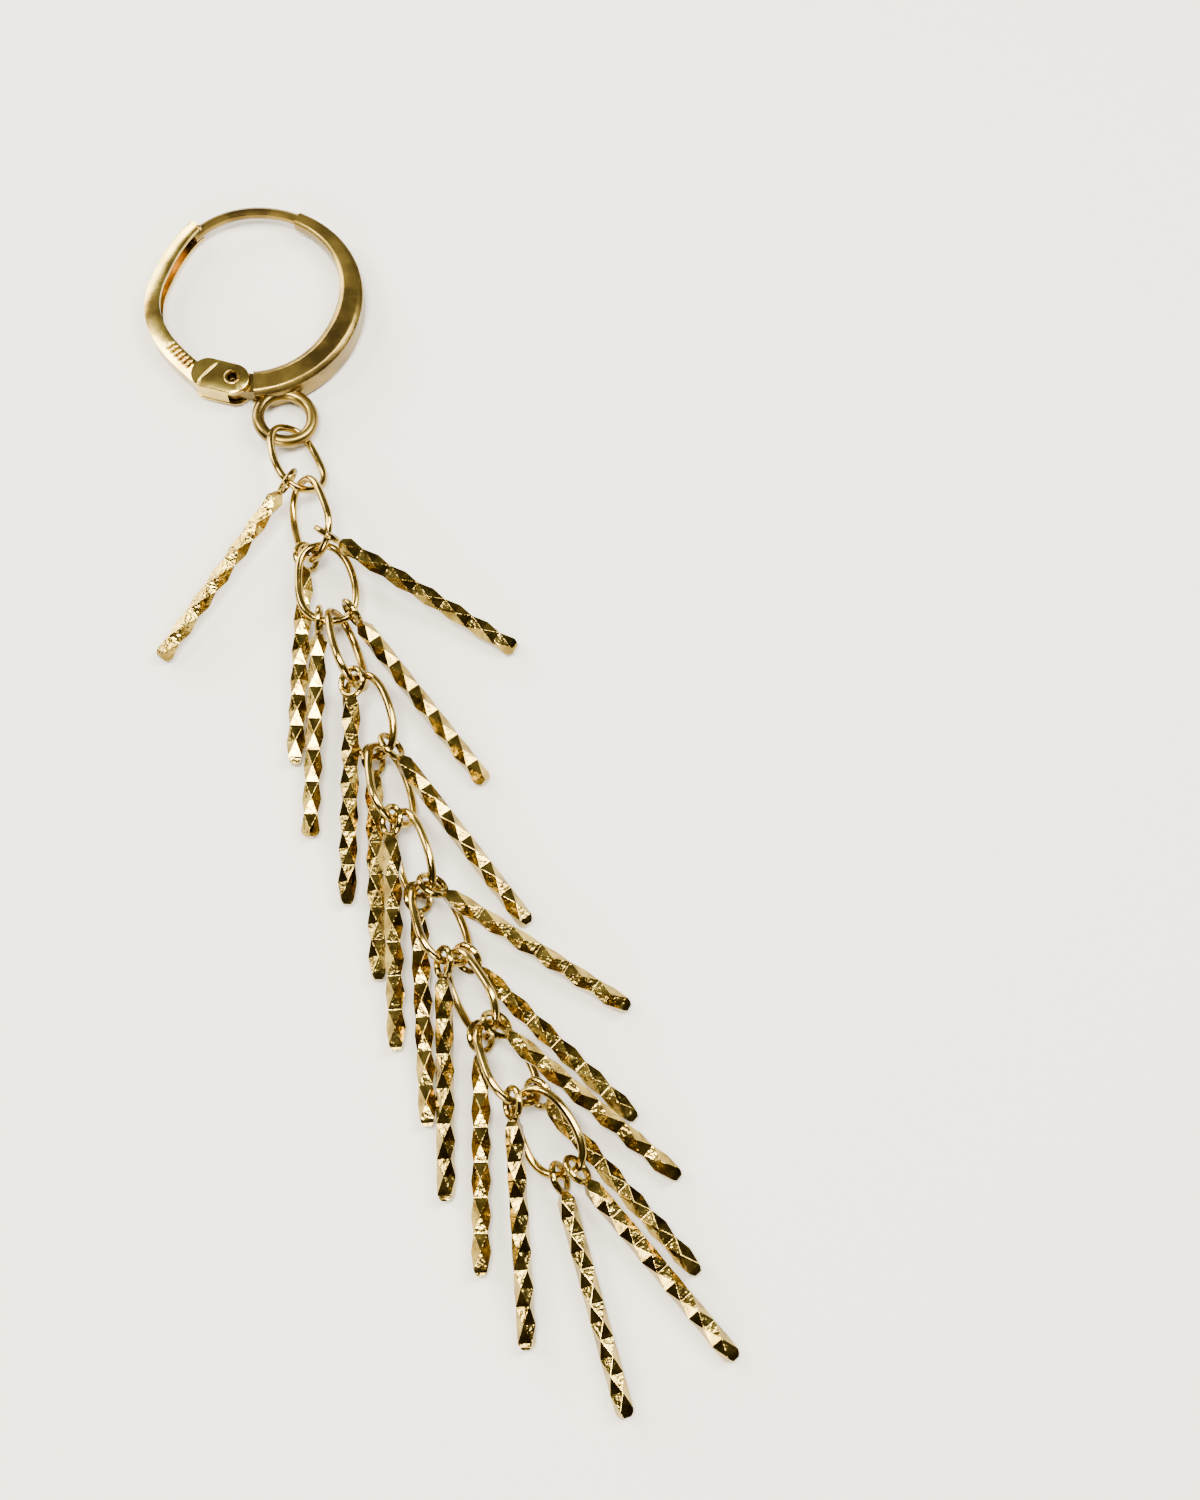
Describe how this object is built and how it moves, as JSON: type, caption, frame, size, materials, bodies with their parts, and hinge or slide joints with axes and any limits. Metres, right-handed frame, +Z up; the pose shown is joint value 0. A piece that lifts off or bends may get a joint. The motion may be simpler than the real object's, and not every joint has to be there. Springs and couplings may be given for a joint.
{
  "type": "dangle earring",
  "caption": "Leverback hoop earring lying on its side, with a chain of oval wire links below it and faceted stick drops fanned out along the chain.",
  "frame": {"origin": "on the crescent's flat underside, where the fixed loop is soldered on", "axes": "+X to the right across the earring, +Y up the earring from the chain's end to the hoop's top, +Z up from the surface it lies on"},
  "size_m": [0.0359, 0.0741, 0.0038],
  "materials": {
    "gold_hoop": "polished gold plate",
    "gold_lever": "polished gold plate",
    "gold_rivet": "polished gold plate, worn",
    "gold_wire": "polished gold wire",
    "gold_diamond_cut": "bright cut facets"
  },
  "bodies": {
    "earring": {"ear_hoop": "gold_hoop", "hinge_pin": "gold_rivet", "link_01": "gold_wire", "link_02": "gold_wire", "link_03": "gold_wire", "link_04": "gold_wire", "link_05": "gold_wire", "link_06": "gold_wire", "link_07": "gold_wire", "link_08": "gold_wire", "link_09": "gold_wire", "link_10": "gold_wire", "link_11": "gold_wire", "bar_01": "gold_diamond_cut", "bar_02": "gold_diamond_cut", "bar_03": "gold_diamond_cut", "bar_04": "gold_diamond_cut", "bar_05": "gold_diamond_cut", "bar_06": "gold_diamond_cut", "bar_07": "gold_diamond_cut", "bar_08": "gold_diamond_cut", "bar_09": "gold_diamond_cut", "bar_10": "gold_diamond_cut", "bar_11": "gold_diamond_cut", "bar_12": "gold_diamond_cut", "bar_13": "gold_diamond_cut", "bar_14": "gold_diamond_cut", "bar_15": "gold_diamond_cut", "bar_16": "gold_diamond_cut", "bar_17": "gold_diamond_cut", "bar_18": "gold_diamond_cut", "bar_19": "gold_diamond_cut"},
    "lever_arm": {"lever": "gold_lever"}
  },
  "joints": [
    {"name": "lever_hinge", "type": "hinge", "parent": "earring", "child": "lever_arm", "pos_m": [-0.0026, 0.00011, 0.001], "axis": [0, 0, 1], "range_deg": [0, 50]}
  ]
}
